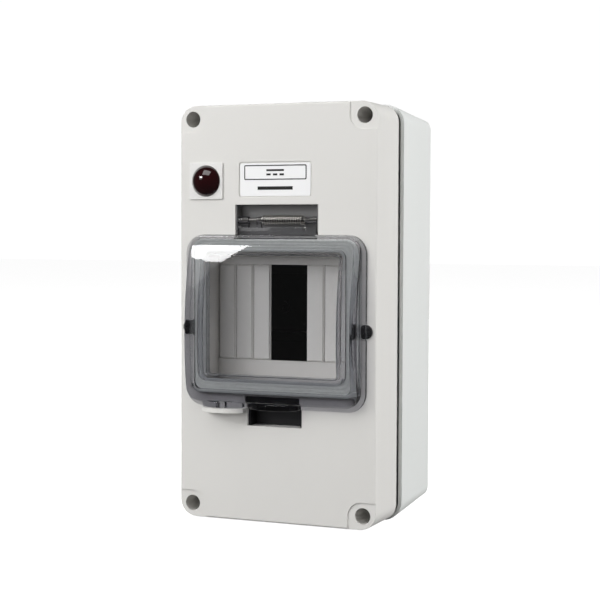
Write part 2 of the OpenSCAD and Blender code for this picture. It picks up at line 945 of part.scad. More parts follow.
module terminal_block() {
    color([0.75, 0.75, 0.72])
    difference() {
        block(block_left, block_right, block_front, chassis_depth,
            bar_z - block_half_height, bar_z + block_half_height);
        for (x = terminal_x) {
            peg(x, bar_z, block_front - 1, terminal_depth - block_front + 0.5, terminal_radius);
            translate([x, y_at(terminal_depth), bar_z])
                cylinder(r = wire_entry_radius, h = 4 * block_half_height, center = true);
        }
    }
}

module terminal_screws() {
    head = block_front + 1;
    color([0.72, 0.72, 0.72])
    for (x = terminal_x)
        difference() {
            peg(x, bar_z, head, terminal_depth - lead_radius + 0.05 - head, terminal_radius);
            block(x - 2, x + 2, head - 1, head + slot_depth, bar_z - 0.25, bar_z + 0.25);
        }
}

// ---------- lamp ----------

module lamp_bezel() {
    color([0.86, 0.86, 0.84])
    translate([lamp_x, 0, lamp_z])
        difference() {
            slab(-bezel_thick, bezel_thick) rounded_rect(bezel_side, bezel_side, bezel_thick);
            peg(0, 0, -2, 4, lamp_body_radius);
        }
}

module lamp_lens() {
    ball = (lens_radius * lens_radius + lens_dome * lens_dome) / (2 * lens_dome);
    color([0.3, 0.02, 0.04])
    translate([lamp_x, y_at(-bezel_thick), lamp_z])
        rotate([90, 0, 0])
            difference() {
                union() {
                    intersection() {
                        cylinder(r = lens_radius, h = lens_dome + 1);
                        translate([0, 0, lens_dome - ball]) sphere(r = ball);
                    }
                    translate([0, 0, -lens_stem_length])
                        cylinder(r = lens_stem_radius, h = lens_stem_length + skin);
                }
                intersection() {
                    translate([0, 0, -lens_stem_length - 1])
                        cylinder(r = lens_stem_bore, h = lens_stem_length + lens_dome);
                    translate([0, 0, lens_dome - ball]) sphere(r = ball - lens_shell);
                }
            }
}

module lamp_seal() {
    color([0.08, 0.08, 0.08])
    difference() {
        peg(lamp_x, lamp_z, wall, lamp_seal_thick, lamp_seal_radius);
        peg(lamp_x, lamp_z, wall - 1, wall, lamp_hole_radius);
    }
}

module lamp_body() {
    color([0.1, 0.1, 0.1])
    difference() {
        union() {
            peg(lamp_x, lamp_z, -bezel_thick, lamp_body_back + bezel_thick, lamp_body_radius);
            for (x = [lamp_x - lug_pitch_half, lamp_x + lug_pitch_half])
                block(x - 1, x + 1, lamp_body_back - 0.4, lamp_body_back + 3.6,
                    lamp_z - 0.5, lamp_z + 0.5);
        }
        difference() {
            peg(lamp_x, lamp_z, -1, lamp_socket_depth + 1, lamp_socket_radius);
            peg(lamp_x, lamp_z, lamp_socket_depth - 3.5, 4, bulb_radius);
        }
    }
}

module lamp_nut() {
    color([0.15, 0.15, 0.15])
    difference() {
        peg_hex(lamp_x, lamp_z, wall + lamp_seal_thick, nut_thick, nut_radius);
        peg(lamp_x, lamp_z, wall, 2 * nut_thick, lamp_body_radius);
    }
}

// A six-sided peg
module peg_hex(x, z, depth, length, radius) {
    translate([x, y_at(depth), z])
        rotate([-90, 0, 0])
            cylinder(r = radius, h = length, $fn = 6);
}

// A wire that runs through a list of [x, depth, z] points
module wire(points, radius) {
    for (i = [0 : len(points) - 2]) {
        start = [points[i][0], y_at(points[i][1]), points[i][2]];
        step = [points[i + 1][0] - points[i][0], points[i + 1][1] - points[i][1],
            points[i + 1][2] - points[i][2]];
        length = norm(step);
        translate(start)
            rotate([0, acos(step[2] / length), atan2(step[1], step[0])])
                cylinder(r = radius, h = length);
        if (i > 0) translate(start) sphere(r = radius + 0.05);
    }
}

module lamp_leads() {
    color([0.75, 0.1, 0.1])
    for (side = [0, 1]) {
        start_x = lamp_x + (2 * side - 1) * lug_pitch_half;
        wire([[start_x, lamp_body_back + 3.1, lamp_z], [start_x, 50, lamp_z + 2],
            [terminal_x[side], terminal_depth, bar_z + 11],
            [terminal_x[side], terminal_depth, bar_z - 3]], lead_radius);
    }
}

// ---------- label ----------

module label_plate() {
    color([0.97, 0.97, 0.97])
    translate([label_x, 0, label_z])
        slab(plate_depth, label_depth - plate_depth)
            rounded_rect(label_width - 2 * plate_margin, label_height - 2 * plate_margin, 1);
}

// A bordered panel holding the sign for direct current, with a bar under it
module label_marks() {
    color([0.1, 0.1, 0.1])
    translate([label_x, 0, label_z])
        slab(plate_depth - print_thick, print_thick) {
            translate([0, panel_z])
                difference() {
                    rounded_rect(panel_width, panel_height, 0.6);
                    rounded_rect(panel_width - 2 * line_width, panel_height - 2 * line_width, 0.3);
                }
            translate([0, panel_z + 1]) square([sign_width, stroke], center = true);
            for (dash = [-1 : 1])
                translate([dash * dash_pitch, panel_z - 1]) square([dash_width, stroke], center = true);
            translate([0, -4]) square([2 * sign_width, 1.6], center = true);
        }
}

// ---------- conduit plug ----------

module conduit_plug() {
    seat = rim_height / 2 + plug_seal_thick;
    color([0.82, 0.82, 0.8])
    translate([0, y_at(entry_depth), 0])
        difference() {
            union() {
                translate([0, 0, seat]) cylinder(r = entry_radius + 3, h = plug_head);
                translate([0, 0, seat - plug_depth])
                    cylinder(r = entry_radius, h = plug_depth + skin);
            }
            translate([0, 0, seat - plug_depth - 1])
                cylinder(r = entry_radius - 2, h = plug_depth + 1);
            translate([-8, -1, seat + plug_head - coin_slot_depth]) cube([16, 2, plug_head]);
        }
}

module conduit_plug_seal() {
    color([0.08, 0.08, 0.08])
    translate([0, y_at(entry_depth), rim_height / 2])
        difference() {
            cylinder(r = entry_radius + 2.6, h = plug_seal_thick);
            translate([0, 0, -1]) cylinder(r = entry_radius, h = plug_seal_thick + 2);
        }
}

// ---------- output ----------

base_box();
base_seal();
screw_inserts();
front_cover();
cover_screws();
screw_washers();
side_plugs();
hinge_block();
hinge_pin();
hinge_spring();
lid();
lid_gasket();
latch_keeper();
blanking_strip_1();
blanking_strip_2();
blanking_strip_3();
blanking_strip_4();
blanking_strip_5();
blanking_strip_6();
din_rail();
rail_screws();
chassis();
chassis_screws();
earth_bar();
neutral_bar();
bar_feet();
bar_screws();
terminal_block();
terminal_screws();
lamp_bezel();
lamp_lens();
lamp_seal();
lamp_body();
lamp_nut();
lamp_leads();
label_plate();
label_marks();
conduit_plug();
conduit_plug_seal();
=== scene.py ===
"""Looks for the combiner box: finished mouldings, a clear lid of real thickness, spring, lamp and label."""

import json
import math

import bmesh
import bpy
from mathutils import Matrix, Vector


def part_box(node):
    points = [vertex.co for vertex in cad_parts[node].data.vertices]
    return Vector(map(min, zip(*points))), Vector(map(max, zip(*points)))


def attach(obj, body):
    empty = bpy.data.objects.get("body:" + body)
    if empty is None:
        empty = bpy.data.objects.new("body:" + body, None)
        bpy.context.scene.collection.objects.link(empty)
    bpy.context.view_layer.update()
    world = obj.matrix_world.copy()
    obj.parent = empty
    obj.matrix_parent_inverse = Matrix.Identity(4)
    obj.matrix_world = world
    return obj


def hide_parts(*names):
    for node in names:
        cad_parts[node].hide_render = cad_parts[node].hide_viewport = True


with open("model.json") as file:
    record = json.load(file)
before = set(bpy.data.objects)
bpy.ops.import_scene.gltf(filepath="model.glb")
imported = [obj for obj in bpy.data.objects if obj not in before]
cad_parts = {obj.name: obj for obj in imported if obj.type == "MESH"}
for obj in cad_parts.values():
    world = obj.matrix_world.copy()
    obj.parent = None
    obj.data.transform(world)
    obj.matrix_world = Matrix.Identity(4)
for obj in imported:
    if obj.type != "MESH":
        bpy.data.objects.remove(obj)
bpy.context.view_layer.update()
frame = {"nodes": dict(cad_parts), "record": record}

MM = 0.001

# ---------- places taken from the frame ----------


class Box:
    """The limits of one or more CAD nodes, in metres."""

    def __init__(self, *nodes):
        corners = [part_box(node) for node in nodes]
        self.low = Vector([min(c[0][i] for c in corners) for i in range(3)])
        self.high = Vector([max(c[1][i] for c in corners) for i in range(3)])
        self.mid = (self.low + self.high) / 2


base = Box("base_box")
lid_box = Box("lid")
pin = Box("hinge_pin")
lens_box = Box("lamp_lens")
plugs = Box("side_plugs")

FACE_Y = -84 * MM  # the cover's front face
PIN_Z = pin.mid.z
PIN_Y = pin.mid.y
PIN_RADIUS = (pin.high.z - pin.low.z) / 2
PLUG_X = 45.2 * MM  # the side plugs' distance from the middle


# ---------- materials ----------


class Nodes:
    """A new node material with its shader, and short ways to add and join nodes."""

    def __init__(self, name):
        self.material = bpy.data.materials.new(name)
        self.material.use_nodes = True
        self.tree = self.material.node_tree
        self.shader = self.tree.nodes["Principled BSDF"]
        self.output = self.tree.nodes["Material Output"]
        self.place = self.add("ShaderNodeTexCoord").outputs["Object"]

    def add(self, kind, **values):
        node = self.tree.nodes.new(kind)
        for key, value in values.items():
            if hasattr(node, key):
                setattr(node, key, value)
            else:
                node.inputs[key.replace("_", " ")].default_value = value
        return node

    def join(self, source, target):
        self.tree.links.new(source, target)

    def set(self, **values):
        for key, value in values.items():
            self.shader.inputs[key.replace("_", " ")].default_value = value

    def noise(self, scale, detail=2.0, stretch=None):
        """Noise over the object; scale is in features per metre."""
        noise = self.add("ShaderNodeTexNoise", Scale=scale, Detail=detail)
        place = self.place
        if stretch is not None:
            mapping = self.add("ShaderNodeMapping")
            mapping.inputs["Scale"].default_value = stretch
            self.join(place, mapping.inputs["Vector"])
            place = mapping.outputs["Vector"]
        self.join(place, noise.inputs["Vector"])
        return noise.outputs["Fac"]

    def between(self, source, low, high, start=0.3, end=0.7):
        """Maps a value to a range of numbers."""
        ranged = self.add("ShaderNodeMapRange")
        ranged.inputs["From Min"].default_value = start
        ranged.inputs["From Max"].default_value = end
        ranged.inputs["To Min"].default_value = low
        ranged.inputs["To Max"].default_value = high
        self.join(source, ranged.inputs["Value"])
        return ranged.outputs["Result"]

    def mix(self, factor, first, second):
        """Blends two colours by a value."""
        mixer = self.add("ShaderNodeMix", data_type="RGBA")
        self.join(factor, mixer.inputs["Factor"])
        for socket, colour in ((mixer.inputs[6], first), (mixer.inputs[7], second)):
            socket.default_value = (*colour, 1)
        return mixer.outputs[2]

    def bump(self, source, height):
        """Raises the surface by a value; height is in metres."""
        bump = self.add("ShaderNodeBump", Strength=1.0, Distance=height)
        self.join(source, bump.inputs["Height"])
        self.join(bump.outputs["Normal"], self.shader.inputs["Normal"])


def shade(colour, factor):
    """A colour made lighter or darker."""
    return tuple(min(1.0, c * factor) for c in colour)


def moulded(name, colour, roughness=0.42):
    """Moulded plastic: a fine spark-eroded grain, faint flow marks and uneven gloss."""
    spread = 0.025
    m = Nodes(name)
    flow = m.noise(24, 3, (1, 1, 0.35))
    m.join(m.mix(flow, shade(colour, 1 - spread), shade(colour, 1 + spread)), m.shader.inputs["Base Color"])
    grain = m.noise(2200, 2)
    m.join(m.between(grain, roughness - 0.04, roughness + 0.06), m.shader.inputs["Roughness"])
    m.bump(grain, 0.012 * MM)
    m.set(IOR=1.5)
    m.shader.inputs["Specular IOR Level"].default_value = 0.45
    return m.material


def rubber(name, colour, roughness=0.6):
    """Soft rubber with a dusty, slightly mottled surface."""
    m = Nodes(name)
    dust = m.noise(700, 4)
    m.join(m.mix(dust, shade(colour, 0.85), shade(colour, 1.2)), m.shader.inputs["Base Color"])
    m.join(m.between(dust, roughness - 0.08, roughness + 0.1), m.shader.inputs["Roughness"])
    m.bump(m.noise(3500, 2), 0.02 * MM)
    return m.material


def metal(name, colour, roughness):
    """Bare metal with fine marks."""
    m = Nodes(name)
    marks = m.noise(1500, 3)
    m.join(m.mix(marks, shade(colour, 0.88), shade(colour, 1.06)), m.shader.inputs["Base Color"])
    m.join(m.between(marks, roughness - 0.07, roughness + 0.1), m.shader.inputs["Roughness"])
    m.bump(marks, 0.01 * MM)
    m.set(Metallic=1.0)
    return m.material


def clear_plastic(name, tint, density):
    """Clear smoke-tinted plastic; density is the tint's strength per metre of thickness."""
    m = Nodes(name)
    # painted shade: the colour darkens where the surface is seen at a slant, over the smoke's real tint,
    # and stands in for the dark band that refraction and shade give the lid's edges
    face_on = (1.0, 1.0, 1.0)
    slant_painted_shade = (0.42, 0.41, 0.47)
    edge = m.add("ShaderNodeLayerWeight", Blend=0.5)
    slant = m.add("ShaderNodeMath", operation="MULTIPLY")
    m.join(m.between(edge.outputs["Facing"], 0.0, 1.0, 0.35, 1.0), slant.inputs[0])
    m.join(m.between(m.noise(60, 2), 0.9, 1.1), slant.inputs[1])
    m.join(m.mix(slant.outputs["Value"], face_on, slant_painted_shade), m.shader.inputs["Base Color"])
    m.join(m.between(m.noise(900, 2), 0.012, 0.035), m.shader.inputs["Roughness"])
    m.set(IOR=1.55)
    m.shader.inputs["Transmission Weight"].default_value = 1.0
    smoke = m.add("ShaderNodeVolumeAbsorption")
    smoke.inputs["Color"].default_value = (*tint, 1)
    smoke.inputs["Density"].default_value = density
    m.join(smoke.outputs["Volume"], m.output.inputs["Volume"])
    # rays from the lamps pass straight through, so that what is inside is lit
    passing = m.add("ShaderNodeBsdfTransparent")
    passing.inputs["Color"].default_value = (1, 1, 1, 1)
    either = m.add("ShaderNodeMixShader")
    m.join(m.add("ShaderNodeLightPath").outputs["Is Shadow Ray"], either.inputs["Fac"])
    m.join(m.shader.outputs["BSDF"], either.inputs[1])
    m.join(passing.outputs["BSDF"], either.inputs[2])
    m.join(either.outputs["Shader"], m.output.inputs["Surface"])
    return m.material


def lamp_red(name):
    """Dark red lens plastic under a clear gloss, with a painted glow: reddest in the middle and nearly
    black at the rim, as if lit from inside.
    """
    m = Nodes(name)
    # painted glow and shade: the colour runs from red where the dome faces the viewer to nearly black at
    # its rim
    middle = (0.024, 0.0008, 0.002)
    rim_painted_shade = (0.0025, 0.0002, 0.0005)
    edge = m.add("ShaderNodeLayerWeight", Blend=0.35)
    cloud = m.noise(160, 2)
    depth = m.add("ShaderNodeMath", operation="MULTIPLY")
    m.join(m.between(edge.outputs["Facing"], 0.35, 1.0, 0.0, 0.9), depth.inputs[0])
    m.join(m.between(cloud, 0.6, 1.2), depth.inputs[1])
    m.join(m.mix(depth.outputs["Value"], middle, rim_painted_shade), m.shader.inputs["Base Color"])
    m.join(m.between(cloud, 0.08, 0.14), m.shader.inputs["Roughness"])
    m.shader.inputs["Coat Weight"].default_value = 1.0
    m.shader.inputs["Coat Roughness"].default_value = 0.03
    return m.material


def film(name, colour):
    """Printed label film: smooth, with a faint ripple of the glue under it."""
    m = Nodes(name)
    ripple = m.noise(180, 2)
    m.join(m.mix(ripple, shade(colour, 0.985), shade(colour, 1.01)), m.shader.inputs["Base Color"])
    m.join(m.between(ripple, 0.28, 0.36), m.shader.inputs["Roughness"])
    m.bump(ripple, 0.02 * MM)
    return m.material


LOOKS = {
    "base_grey": moulded("base plastic", (0.735, 0.752, 0.737)),
    "cover_grey": moulded("cover plastic", (0.705, 0.695, 0.67)),
    "strip_grey": moulded("strip plastic", (0.80, 0.79, 0.765)),
    "bezel_grey": moulded("bezel plastic", (0.76, 0.755, 0.74), 0.3),
    "clear_lid": clear_plastic("lid plastic", (0.35, 0.35, 0.41), 120),
    "gasket_grey": rubber("gasket rubber", (0.49, 0.51, 0.50)),
    "black_rubber": rubber("black rubber", (0.012, 0.012, 0.013), 0.3),
    "dark_plastic": moulded("dark plastic", (0.15, 0.15, 0.15)),
    "black_plastic": moulded("black plastic", (0.010, 0.010, 0.011), 0.5),
    "black_steel": metal("black steel", (0.03, 0.03, 0.032), 0.5),
    "steel": metal("bright steel", (0.86, 0.84, 0.80), 0.15),
    "brass": metal("brass", (0.72, 0.52, 0.22), 0.25),
    "green_plastic": moulded("green plastic", (0.03, 0.16, 0.06)),
    "cream_plastic": moulded("terminal plastic", (0.62, 0.60, 0.52)),
    "red_lens": lamp_red("lens plastic"),
    "red_wire": moulded("wire insulation", (0.45, 0.02, 0.02), 0.35),
    "label_white": film("label film", (0.88, 0.88, 0.885)),
    "print_black": film("label ink", (0.015, 0.015, 0.015)),
}


def dress(obj, slot):
    """Gives a piece the look of one of the record's material slots."""
    obj.data.materials.clear()
    obj.data.materials.append(LOOKS[slot])


# ---------- CAD nodes: weld, soften the edges, dress ----------


WELD_DISTANCE = 0.002 * MM
FLAT_ANGLE = math.radians(0.6)  # faces that meet at less than this are one face
SHARP_ANGLE = math.radians(35)  # edges sharper than this are rounded


def soften(obj, width):
    """Rounds the sharp edges of a CAD node without touching its own mesh."""
    weld = obj.modifiers.new("weld", "WELD")
    weld.merge_threshold = WELD_DISTANCE
    flat = obj.modifiers.new("flat faces", "DECIMATE")
    flat.decimate_type = "DISSOLVE"
    flat.angle_limit = FLAT_ANGLE
    bevel = obj.modifiers.new("edges", "BEVEL")
    bevel.width = width
    bevel.segments = 2
    bevel.limit_method = "ANGLE"
    bevel.angle_limit = SHARP_ANGLE
    bevel.miter_outer = "MITER_ARC"
    bevel.use_clamp_overlap = True
    bevel.harden_normals = True
    even = obj.modifiers.new("even shading", "WEIGHTED_NORMAL")
    even.keep_sharp = True


def shade_by_angle(obj, degrees=32):
    """Smooth shading, with a crease wherever two faces meet at more than an angle."""
    obj.data.shade_smooth()
    obj.data.set_sharp_from_angle(angle=math.radians(degrees))


SLOTS = {s["node"]: s["material_slot"] for s in frame["record"]["subparts"]}
for name, obj in frame["nodes"].items():
    dress(obj, SLOTS[name])
# painted shade: the pin is coloured much darker than the spring round it, so that the gaps between the
# coils look shaded
frame["nodes"]["hinge_pin"].data.materials[0] = metal("pin steel with painted shade", (0.30, 0.29, 0.28), 0.35)

# ---------- mesh helpers ----------


def new_object(name, bm, slot, body, *nodes):
    """Turns a bmesh into a piece that rides on a body and stands for CAD nodes."""
    bmesh.ops.recalc_face_normals(bm, faces=bm.faces)
    mesh = bpy.data.meshes.new(name)
    bm.to_mesh(mesh)
    bm.free()
    obj = bpy.data.objects.new(name, mesh)
    bpy.context.scene.collection.objects.link(obj)
    shade_by_angle(obj)
    if slot:
        dress(obj, slot)
    if body:
        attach(obj, body)
    if nodes:
        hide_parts(*nodes)
    return obj


CORNER_STEPS = 8
SIDE_STEPS = 10


def outline(half_width, bottom, top, radius):
    """Points round a rectangle with round corners, as (x, z), the same number for any size."""
    centres = (
        (half_width - radius, top - radius, 0),
        (radius - half_width, top - radius, 90),
        (radius - half_width, bottom + radius, 180),
        (half_width - radius, bottom + radius, 270),
    )
    corners = []
    for x, z, start in centres:
        angles = [math.radians(start + 90 * i / CORNER_STEPS) for i in range(CORNER_STEPS + 1)]
        corners.append([(x + radius * math.cos(a), z + radius * math.sin(a)) for a in angles])
    points = []
    for corner, after in zip(corners, corners[1:] + corners[:1]):
        points += corner
        (x0, z0), (x1, z1) = corner[-1], after[0]
        for i in range(1, SIDE_STEPS):
            t = i / SIDE_STEPS
            points.append((x0 + (x1 - x0) * t, z0 + (z1 - z0) * t))
    return points


def ring(bm, size, depth):
    """A loop of vertices on an outline; depth gives y at each (x, z)."""
    return [bm.verts.new((x, depth(x, z), z)) for x, z in outline(*size)]


def bridge(bm, first, second):
    """Joins two loops of the same number of vertices with faces."""
    count = len(first)
    for i in range(count):
        j = (i + 1) % count
        bm.faces.new((first[i], first[j], second[j], second[i]))


def cap(bm, loop, size, depth, rings=10):
    """Closes a loop with smaller and smaller copies of its outline, down to its middle."""
    half_width, bottom, top, radius = size
    middle = (bottom + top) / 2
    last = loop
    for i in range(1, rings):
        k = 1 - i / rings
        inner = (half_width * k, middle + (bottom - middle) * k, middle + (top - middle) * k, radius * k)
        nearer = ring(bm, inner, depth)
        bridge(bm, last, nearer)
        last = nearer
    centre = bm.verts.new((0, depth(0, middle), middle))
    for i in range(len(last)):
        bm.faces.new((last[i], last[(i + 1) % len(last)], centre))


def block(low, high, edge):
    """A bmesh box between two corners, with its edges rounded."""
    bm = bmesh.new()
    bmesh.ops.create_cube(bm, size=1.0)
    size = Vector(high) - Vector(low)
    centre = (Vector(high) + Vector(low)) / 2
    bmesh.ops.transform(bm, matrix=Matrix.Translation(centre) @ Matrix.Diagonal((*size, 1)), verts=bm.verts)
    bmesh.ops.bevel(bm, geom=bm.edges[:], offset=edge, segments=2, profile=0.5, affect="EDGES")
    return bm


def rod(start, end, radius, edge=0.0):
    """A round bmesh bar between two points, with its end edges rounded if edge is given."""
    start, end = Vector(start), Vector(end)
    bm = bmesh.new()
    length = (end - start).length
    bmesh.ops.create_cone(bm, cap_ends=True, segments=40, radius1=radius, radius2=radius, depth=length)
    if edge:
        rims = [e for e in bm.edges if any(len(face.verts) > 4 for face in e.link_faces)]
        bmesh.ops.bevel(bm, geom=rims, offset=edge, segments=3, profile=0.5, affect="EDGES")
    turn = (end - start).to_track_quat("Z", "Y").to_matrix().to_4x4()
    bmesh.ops.transform(bm, matrix=Matrix.Translation((start + end) / 2) @ turn, verts=bm.verts)
    return bm


def combine(obj, shapes, operation):
    """Adds bmesh shapes to a piece, or cuts them from it, and applies the result."""
    for i, bm in enumerate(shapes):
        tool = new_object(f"{obj.name}_tool_{i}", bm, None, None)
        boolean = obj.modifiers.new("combine", "BOOLEAN")
        boolean.operation = operation
        boolean.solver = "EXACT"
        boolean.object = tool
        graph = bpy.context.evaluated_depsgraph_get()
        result = bpy.data.meshes.new_from_object(obj.evaluated_get(graph))
        obj.modifiers.clear()
        obj.data = result
        bpy.data.objects.remove(tool)


# ---------- lid ----------

LID_BACK = FACE_Y - 0.3 * MM
BRIM_THICK = 2.4 * MM
BRIM_FRONT = LID_BACK - BRIM_THICK
BRIM_HALF = lid_box.high.x
BRIM_TOP = 37.5 * MM
BRIM_BOTTOM = -44.4 * MM
BRIM_RADIUS = 9 * MM
DOME_INSET = 2.2 * MM
DOME_TOP = BRIM_TOP - 0.6 * MM
DOME_BOTTOM = BRIM_BOTTOM + DOME_INSET
DOME_HALF = BRIM_HALF - DOME_INSET
DOME_RADIUS = 7 * MM
DOME_WALL = 1.8 * MM
BARREL_RADIUS = 171.5 * MM
BARREL_Z = -10.6 * MM
BARREL_Y = lid_box.low.y + BARREL_RADIUS
EDGE = 2.4 * MM
SEAT_Y = LID_BACK - 2.6 * MM
SEAT_TOP = DOME_TOP - DOME_WALL
SEAT_BOTTOM = -37.4 * MM
WINDOW = (35.5 * MM, -30.5 * MM, 29.3 * MM, 3 * MM)


def barrel(x, z, inset=0.0):
    """Depth of the lid's bowed front, or of a surface inside it; it is the same at every x."""
    radius = BARREL_RADIUS - inset
    return BARREL_Y - math.sqrt(radius**2 - (z - BARREL_Z) ** 2)


def grown(size, amount):
    """An outline's size, made larger all round."""
    half_width, bottom, top, radius = size
    return (half_width + amount, bottom - amount, top + amount, max(radius + amount, 0.3 * MM))


def quarter(steps=5):
    """Angles through a quarter turn."""
    return [math.radians(90 * i / steps) for i in range(steps + 1)]


def lid_shell():
    """The lid's bowl as one closed skin: brim, wall, bowed front, and the walls round the gasket inside."""
    bm = bmesh.new()
    brim = (BRIM_HALF, BRIM_BOTTOM, BRIM_TOP, BRIM_RADIUS)
    dome = (DOME_HALF, DOME_BOTTOM, DOME_TOP, DOME_RADIUS)
    seat = (DOME_HALF - DOME_WALL, SEAT_BOTTOM, SEAT_TOP, DOME_RADIUS - DOME_WALL)
    window_wall = 1.2 * MM
    window = grown(WINDOW, -window_wall)
    window_fillet = 0.8 * MM
    ledge = 1.4 * MM
    slot_least = 0.1 * MM  # the least depth of the slot between the two ledges
    back_edge = 0.3 * MM
    round_edge = 0.8 * MM
    hollow_reach = 0.5 * MM
    hollow = 0.12 * MM
    side_least = 0.3 * MM  # the least height of the dome's side above the brim
    side_lean = 0.1
    loops = []

    def station(size, depth):
        loops.append(ring(bm, size, depth))

    def roof(x, z):
        return barrel(x, z, DOME_WALL)

    def slot_roof(x, z):
        return min(roof(x, z), SEAT_Y - slot_least)

    # inside, from the window's wall outwards
    for a in quarter(4):
        inset = window_fillet * (1 - math.sin(a))
        drop = window_fillet * (1 - math.cos(a))
        station(grown(window, -inset), lambda x, z: roof(x, z) + drop)
    inner_cap = loops[0]
    station(window, lambda x, z: LID_BACK)
    station(WINDOW, lambda x, z: LID_BACK)
    station(WINDOW, lambda x, z: SEAT_Y)
    station(grown(WINDOW, ledge), lambda x, z: SEAT_Y)
    station(grown(WINDOW, ledge), slot_roof)
    station(grown(seat, -ledge), slot_roof)
    station(grown(seat, -ledge), lambda x, z: SEAT_Y)
    station(seat, lambda x, z: SEAT_Y)
    station(seat, lambda x, z: LID_BACK)
    # the brim's back and edge
    station(grown(brim, -back_edge), lambda x, z: LID_BACK)
    station(brim, lambda x, z: LID_BACK - back_edge)
    for a in quarter():
        inset = round_edge * (1 - math.cos(a))
        station(grown(brim, -inset), lambda x, z: BRIM_FRONT + round_edge * (1 - math.sin(a)))
    # a small hollow where the brim meets the dome
    station(grown(dome, hollow_reach), lambda x, z: BRIM_FRONT)
    station(grown(dome, hollow), lambda x, z: BRIM_FRONT - hollow)

    def front(drop):
        lowest = BRIM_FRONT - side_least - (EDGE - drop) * side_lean
        return lambda x, z: min(barrel(x, z) + drop, lowest)

    for a in quarter(7):
        station(grown(dome, -EDGE * (1 - math.cos(a))), front(EDGE * (1 - math.sin(a))))
    for first, second in zip(loops, loops[1:]):
        bridge(bm, first, second)
    cap(bm, inner_cap, grown(window, -window_fillet), roof)
    cap(bm, loops[-1], grown(dome, -EDGE), front(0), 14)
    return bm


KNUCKLE_RADIUS = 1.7 * MM
PLATE_FRONT = PIN_Y - KNUCKLE_RADIUS
PLATE_BACK = PIN_Y + 0.7 * MM
PLATE_TOP = 41 * MM
KNUCKLE_END = 20.3 * MM
# each span of plate that reaches up to the pin, as left and right
EARS = ((-KNUCKLE_END, -14.8 * MM), (-10.5 * MM, -8.2 * MM), (14.4 * MM, KNUCKLE_END))
LIP_Z = (-44.9 * MM, -41.7 * MM)
LUG_Z = (-44.6 * MM, -41.4 * MM)
LOCK_HOLE = Vector((-25.5 * MM, FACE_Y - 4.8 * MM, 0))
LOCK_HOLE_RADIUS = 2.6 * MM
PLATE_EDGE = 0.9 * MM


def bowed_plate(x_from, x_to, reach, bow, z_range):
    """A plate that stands out of the lid; its front edge has the radius bow."""
    bm = bmesh.new()
    steps = 20
    middle = (x_from + x_to) / 2
    low = []
    for i in range(steps + 1):
        x = x_from + (x_to - x_from) * i / steps
        sag = bow - math.sqrt(bow**2 - (x - middle) ** 2)
        low.append(bm.verts.new((x, FACE_Y - reach + sag, z_range[0])))
    low.append(bm.verts.new((x_to, LID_BACK, z_range[0])))
    low.append(bm.verts.new((x_from, LID_BACK, z_range[0])))
    floor = bm.faces.new(low)
    raised = bmesh.ops.extrude_face_region(bm, geom=[floor])
    top = [v for v in raised["geom"] if isinstance(v, bmesh.types.BMVert)]
    bmesh.ops.translate(bm, verts=top, vec=(0, 0, z_range[1] - z_range[0]))
    bmesh.ops.recalc_face_normals(bm, faces=bm.faces)
    sharp = math.radians(40)
    rims = [e for e in bm.edges if e.calc_face_angle(0) > sharp]
    bmesh.ops.bevel(bm, geom=rims, offset=PLATE_EDGE, segments=3, profile=0.5, affect="EDGES")
    return bm


# shapes that are joined are kept off each other's faces by these
HAIR = 0.01 * MM
INSET = 0.03 * MM


def hinge_shapes():
    """The plate that reaches up to the pin, and its ears and knuckles."""
    end = KNUCKLE_END - HAIR
    plate_edge = 0.3 * MM
    root_bottom = 36.2 * MM
    root_low = (-end, BRIM_FRONT + 10 * HAIR, root_bottom)
    root_high = (end, PLATE_BACK, BRIM_TOP - 2 * HAIR)
    plate_bottom = 36.6 * MM
    plate_low = (-end, PLATE_FRONT, plate_bottom)
    plate_high = (end, PLATE_BACK - HAIR, PLATE_TOP)
    shapes = [block(root_low, root_high, plate_edge), block(plate_low, plate_high, plate_edge)]
    ear_root = 1 * MM
    ear_edge = 0.15 * MM
    knuckle_edge = 0.25 * MM
    for x_from, x_to in EARS:
        low = (x_from + INSET, PLATE_FRONT + INSET, PLATE_TOP - ear_root)
        high = (x_to - INSET, PLATE_BACK - INSET, PIN_Z)
        shapes.append(block(low, high, ear_edge))
        shapes.append(rod((x_from, PIN_Y, PIN_Z), (x_to, PIN_Y, PIN_Z), KNUCKLE_RADIUS, knuckle_edge))
    return shapes


def latch_shapes():
    """The pull lip, the locking lug, and the hook behind the lip with its barb."""
    lip = bowed_plate(-12.6 * MM, 13.4 * MM, reach=9.5 * MM, bow=19 * MM, z_range=LIP_Z)
    lug = bowed_plate(-36.5 * MM, -15 * MM, reach=9 * MM, bow=15 * MM, z_range=LUG_Z)
    hook_half = 7 * MM
    hook_thick = 1.6 * MM
    hook_edge = 0.3 * MM
    hook_back = FACE_Y + 4 * MM
    hook_low = LIP_Z[0] + 2 * HAIR
    hook_high = (hook_half, hook_back, hook_low + hook_thick)
    hook = block((-hook_half, BRIM_FRONT, hook_low), hook_high, hook_edge)
    barb_half = hook_half - INSET
    barb_edge = 0.2 * MM
    barb_front = FACE_Y + 2.6 * MM
    barb_top = hook_low + 2 * MM
    barb_low = (-barb_half, barb_front, hook_low + INSET)
    barb_high = (barb_half, hook_back - INSET, barb_top)
    barb = block(barb_low, barb_high, barb_edge)
    return [lip, lug, hook, barb]


def plug_reliefs():
    """The room for the side plugs, which is cut from the lid and from its gasket."""
    front = FACE_Y - 1.6 * MM
    back = FACE_Y + 1 * MM
    radius = 3.8 * MM
    z = plugs.mid.z
    return [rod((side * PLUG_X, front, z), (side * PLUG_X, back, z), radius) for side in (-1, 1)]


